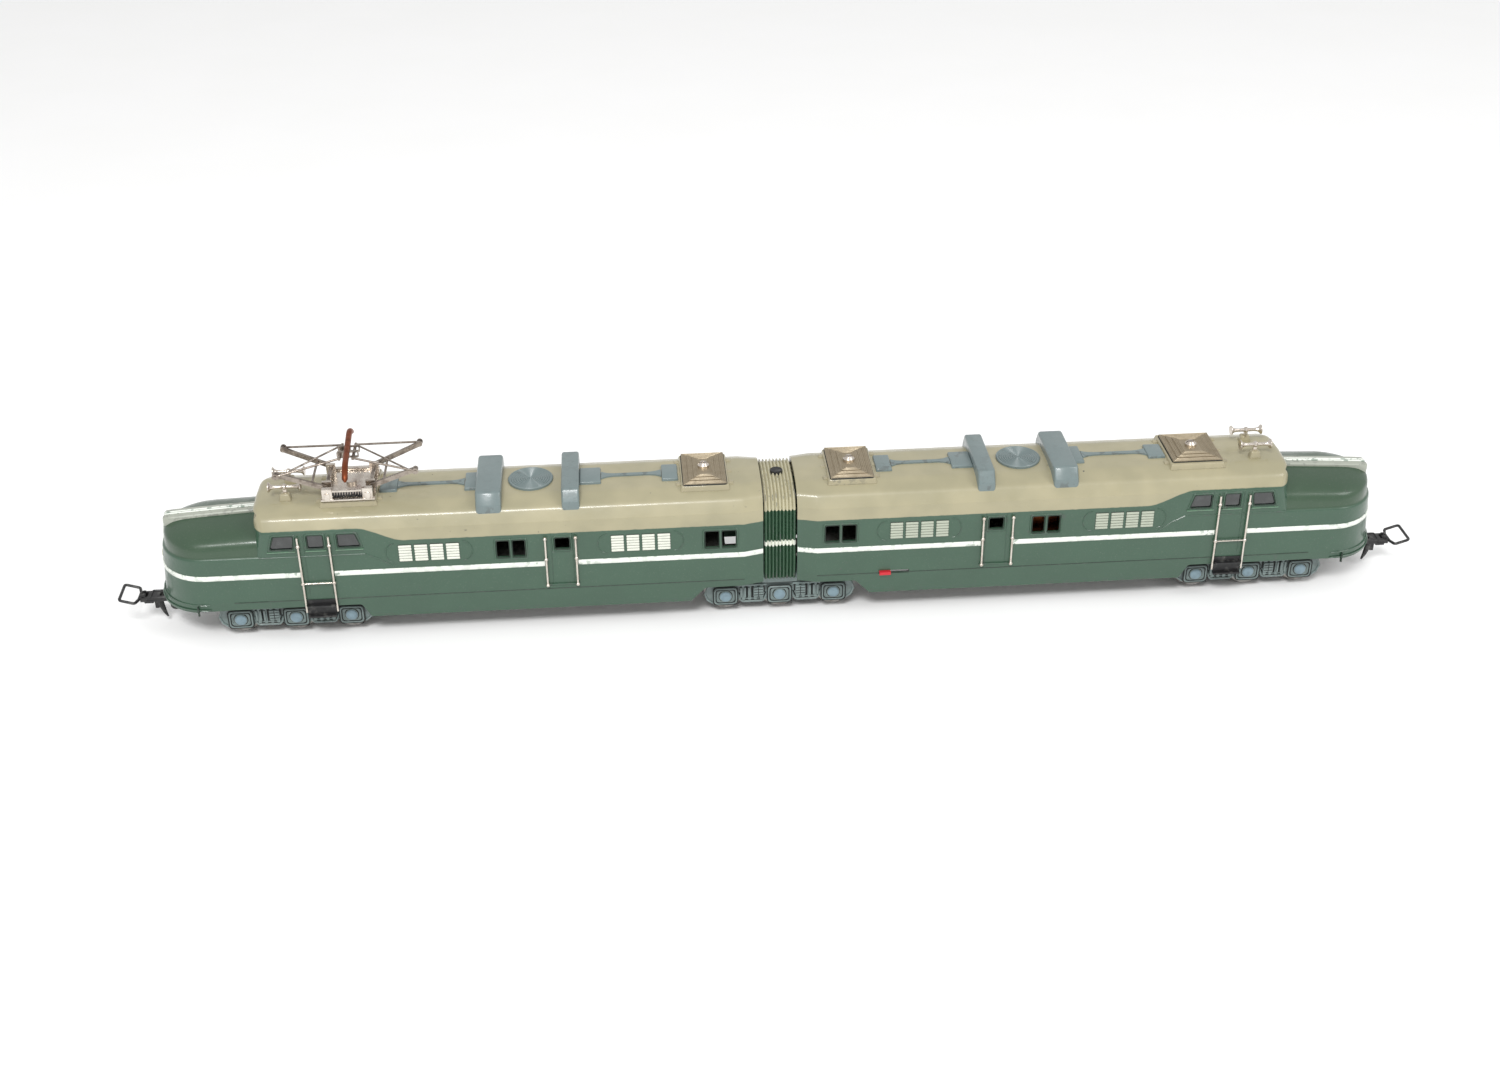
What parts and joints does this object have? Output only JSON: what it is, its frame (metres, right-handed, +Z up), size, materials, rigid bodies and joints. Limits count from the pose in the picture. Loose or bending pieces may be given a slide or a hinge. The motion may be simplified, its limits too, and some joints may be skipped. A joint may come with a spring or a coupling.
{
  "type": "model electric locomotive",
  "caption": "Twin-car articulated model electric locomotive: hooded cabs, roof pantograph, three swivelling bogies under two die-cast cars joined by a ribbed bellows.",
  "frame": {"origin": "centre of length and width, at the bottom of the wheel flanges", "axes": "+X along the track towards car B, +Y to the far side, +Z up"},
  "size_m": [0.4374, 0.0376, 0.0632],
  "materials": {
    "green_body": "satin enamel over die-cast zinc",
    "bellows_green": "painted ribbed rubber",
    "bogie_blue_grey": "satin enamel over die-cast zinc",
    "nickel": "nickel plate",
    "plain_steel": "turned steel",
    "copper": "worn copper",
    "brass": "plain",
    "black_metal": "blackened",
    "smoked_glazing": "dark clear plastic",
    "lamp_lens": "clear",
    "red_lever": "gloss",
    "black_plastic": "moulded",
    "relay_coil": "varnished winding"
  },
  "bodies": {
    "car_a": {"car_a_shell": "green_body", "car_a_floor": "plain_steel", "car_a_glazing": "smoked_glazing", "car_a_handrails": "nickel", "car_a_steps": "black_metal", "car_a_horns": "nickel", "car_a_headlamp_lens": "lamp_lens", "car_a_bulb": "brass", "car_a_roof_plate": "nickel", "car_a_roof_screws": "nickel", "panto_base": "nickel", "panto_spring": "plain_steel"},
    "car_b": {"car_b_shell": "green_body", "car_b_floor": "plain_steel", "car_b_glazing": "smoked_glazing", "car_b_handrails": "nickel", "car_b_steps": "black_metal", "car_b_horns": "nickel", "car_b_headlamp_lens": "lamp_lens", "car_b_bulb": "brass", "car_b_roof_plates": "nickel", "car_b_roof_screws": "nickel", "relay_frame": "plain_steel", "relay_coil": "relay_coil", "bogie_b_kingpin": "plain_steel"},
    "bogie_a": {"bogie_a_frame": "bogie_blue_grey", "bogie_a_pivot_pin": "plain_steel", "motor_field": "plain_steel", "motor_brush_plate": "black_plastic", "motor_brushes": "copper"},
    "bogie_b": {"bogie_b_frame": "bogie_blue_grey", "pickup_spring": "brass"},
    "bogie_c": {"bogie_c_frame": "bogie_blue_grey", "bogie_c_kingpin": "plain_steel", "bellows": "bellows_green"},
    "changeover_lever": {"changeover_lever": "red_lever"},
    "pickup_shoe": {"pickup_shoe": "nickel"},
    "motor_armature": {"motor_armature": "copper"},
    "drive_gear": {"drive_gear": "brass"},
    "idler_gear_front": {"idler_gear_front": "brass"},
    "idler_gear_rear": {"idler_gear_rear": "brass"},
    "coupler_a": {"coupler_a_shank": "black_metal"},
    "coupler_a_loop": {"coupler_a_loop": "black_metal"},
    "coupler_b": {"coupler_b_shank": "black_metal"},
    "coupler_b_loop": {"coupler_b_loop": "black_metal"},
    "panto_lower_left": {"panto_lower_left": "nickel"},
    "panto_lower_right": {"panto_lower_right": "nickel"},
    "panto_upper_left": {"panto_upper_left": "nickel"},
    "panto_upper_right": {"panto_upper_right": "nickel"},
    "panto_head": {"panto_head": "nickel", "panto_bow": "copper"},
    "wheelset_a1": {"wheelset_a1": "plain_steel"},
    "wheelset_a2": {"wheelset_a2": "plain_steel"},
    "wheelset_a3": {"wheelset_a3": "plain_steel"},
    "wheelset_b1": {"wheelset_b1": "plain_steel"},
    "wheelset_b2": {"wheelset_b2": "plain_steel"},
    "wheelset_b3": {"wheelset_b3": "plain_steel"},
    "wheelset_c1": {"wheelset_c1": "plain_steel"},
    "wheelset_c2": {"wheelset_c2": "plain_steel"},
    "wheelset_c3": {"wheelset_c3": "plain_steel"}
  },
  "joints": [
    {"name": "bogie_a_swivel", "type": "hinge", "parent": "car_a", "child": "bogie_a", "pos_m": [-0.16, 0, 0.02], "axis": [0, 0, 1], "range_deg": [-13, 13]},
    {"name": "bogie_c_swivel", "type": "hinge", "parent": "car_a", "child": "bogie_c", "pos_m": [0, 0, 0.0165], "axis": [0, 0, 1], "range_deg": [-13, 13]},
    {"name": "car_b_swivel", "type": "hinge", "parent": "bogie_c", "child": "car_b", "pos_m": [0, 0, 0.0175], "axis": [0, 0, 1], "range_deg": [-13, 13]},
    {"name": "bogie_b_swivel", "type": "hinge", "parent": "car_b", "child": "bogie_b", "pos_m": [0.16, 0, 0.015], "axis": [0, 0, 1], "range_deg": [-13, 13]},
    {"name": "wheelset_a1_spin", "type": "hinge", "parent": "bogie_a", "child": "wheelset_a1", "pos_m": [-0.1781, 0, 0.00695], "axis": [0, 1, 0], "continuous": true},
    {"name": "wheelset_a2_spin", "type": "hinge", "parent": "bogie_a", "child": "wheelset_a2", "pos_m": [-0.16, 0, 0.00695], "axis": [0, 1, 0], "continuous": true},
    {"name": "wheelset_a3_spin", "type": "hinge", "parent": "bogie_a", "child": "wheelset_a3", "pos_m": [-0.1419, 0, 0.00695], "axis": [0, 1, 0], "continuous": true},
    {"name": "wheelset_b1_spin", "type": "hinge", "parent": "bogie_b", "child": "wheelset_b1", "pos_m": [0.1419, 0, 0.00695], "axis": [0, 1, 0], "continuous": true},
    {"name": "wheelset_b2_spin", "type": "hinge", "parent": "bogie_b", "child": "wheelset_b2", "pos_m": [0.16, 0, 0.00695], "axis": [0, 1, 0], "continuous": true},
    {"name": "wheelset_b3_spin", "type": "hinge", "parent": "bogie_b", "child": "wheelset_b3", "pos_m": [0.1781, 0, 0.00695], "axis": [0, 1, 0], "continuous": true},
    {"name": "wheelset_c1_spin", "type": "hinge", "parent": "bogie_c", "child": "wheelset_c1", "pos_m": [-0.0181, 0, 0.00695], "axis": [0, 1, 0], "continuous": true},
    {"name": "wheelset_c2_spin", "type": "hinge", "parent": "bogie_c", "child": "wheelset_c2", "pos_m": [0, 0, 0.00695], "axis": [0, 1, 0], "continuous": true},
    {"name": "wheelset_c3_spin", "type": "hinge", "parent": "bogie_c", "child": "wheelset_c3", "pos_m": [0.0181, 0, 0.00695], "axis": [0, 1, 0], "continuous": true},
    {"name": "idler_gear_front_spin", "type": "hinge", "parent": "bogie_a", "child": "idler_gear_front", "pos_m": [-0.16905, -0.00555, 0.00886], "axis": [0, 1, 0], "continuous": true},
    {"name": "idler_gear_rear_spin", "type": "hinge", "parent": "bogie_a", "child": "idler_gear_rear", "pos_m": [-0.15095, -0.00555, 0.00886], "axis": [0, 1, 0], "continuous": true},
    {"name": "drive_gear_spin", "type": "hinge", "parent": "bogie_a", "child": "drive_gear", "pos_m": [-0.16, 0.00555, 0.01895], "axis": [0, 1, 0], "continuous": true},
    {"name": "motor_armature_spin", "type": "hinge", "parent": "bogie_a", "child": "motor_armature", "pos_m": [-0.16, 0, 0.02895], "axis": [0, 1, 0], "continuous": true},
    {"name": "coupler_a_swivel", "type": "hinge", "parent": "car_a", "child": "coupler_a", "pos_m": [-0.196, 0, 0.0102], "axis": [0, 0, 1], "range_deg": [-20, 20]},
    {"name": "coupler_a_lift", "type": "hinge", "parent": "coupler_a", "child": "coupler_a_loop", "pos_m": [-0.2114, 0, 0.0102], "axis": [0, 1, 0], "range_deg": [0, 35]},
    {"name": "coupler_b_swivel", "type": "hinge", "parent": "car_b", "child": "coupler_b", "pos_m": [0.196, 0, 0.0102], "axis": [0, 0, 1], "range_deg": [-20, 20]},
    {"name": "coupler_b_lift", "type": "hinge", "parent": "coupler_b", "child": "coupler_b_loop", "pos_m": [0.2114, 0, 0.0102], "axis": [0, -1, 0], "range_deg": [0, 35]},
    {"name": "pickup_shoe_slide", "type": "slide", "parent": "bogie_b", "child": "pickup_shoe", "axis": [0, 0, 1], "range_m": [0, 0.0015], "stiffness_N_per_m": 40, "springref_m": -0.002, "deforming": ["pickup_spring"]},
    {"name": "changeover_lever_slide", "type": "slide", "parent": "car_b", "child": "changeover_lever", "axis": [1, 0, 0], "range_m": [0, 0.006]},
    {"name": "panto_lower_left_lift", "type": "hinge", "parent": "car_a", "child": "panto_lower_left", "pos_m": [-0.1454, 0, 0.0523], "axis": [0, 1, 0], "range_deg": [-3, 30]},
    {"name": "panto_lower_right_lift", "type": "hinge", "parent": "car_a", "child": "panto_lower_right", "pos_m": [-0.1314, 0, 0.0523], "axis": [0, -1, 0], "range_deg": [-3.5, 30.5]},
    {"name": "panto_upper_left_fold", "type": "hinge", "parent": "panto_lower_left", "child": "panto_upper_left", "pos_m": [-0.16047, 0, 0.05851], "axis": [0, -1, 0], "range_deg": [-7.6, 67]},
    {"name": "panto_upper_right_fold", "type": "hinge", "parent": "panto_lower_right", "child": "panto_upper_right", "pos_m": [-0.11633, 0, 0.05851], "axis": [0, 1, 0], "range_deg": [-7.6, 67]},
    {"name": "panto_head_level", "type": "hinge", "parent": "panto_upper_left", "child": "panto_head", "pos_m": [-0.14056, 0, 0.06124], "axis": [0, 1, 0], "range_deg": [-4.6, 37]}
  ],
  "couplings": [
    {"joint": "wheelset_a1_spin", "follows": "wheelset_a2_spin", "ratio": 1},
    {"joint": "wheelset_a3_spin", "follows": "wheelset_a2_spin", "ratio": 1},
    {"joint": "idler_gear_front_spin", "follows": "wheelset_a2_spin", "ratio": -0.7619},
    {"joint": "idler_gear_rear_spin", "follows": "wheelset_a2_spin", "ratio": -0.7619},
    {"joint": "drive_gear_spin", "follows": "wheelset_a2_spin", "ratio": -0.5},
    {"joint": "motor_armature_spin", "follows": "wheelset_a2_spin", "ratio": 2},
    {"joint": "panto_lower_right_lift", "follows": "panto_lower_left_lift", "ratio": 1},
    {"joint": "panto_upper_left_fold", "follows": "panto_lower_left_lift", "ratio": 2.2},
    {"joint": "panto_upper_right_fold", "follows": "panto_lower_left_lift", "ratio": 2.2},
    {"joint": "panto_head_level", "follows": "panto_lower_left_lift", "ratio": 1.2}
  ]
}
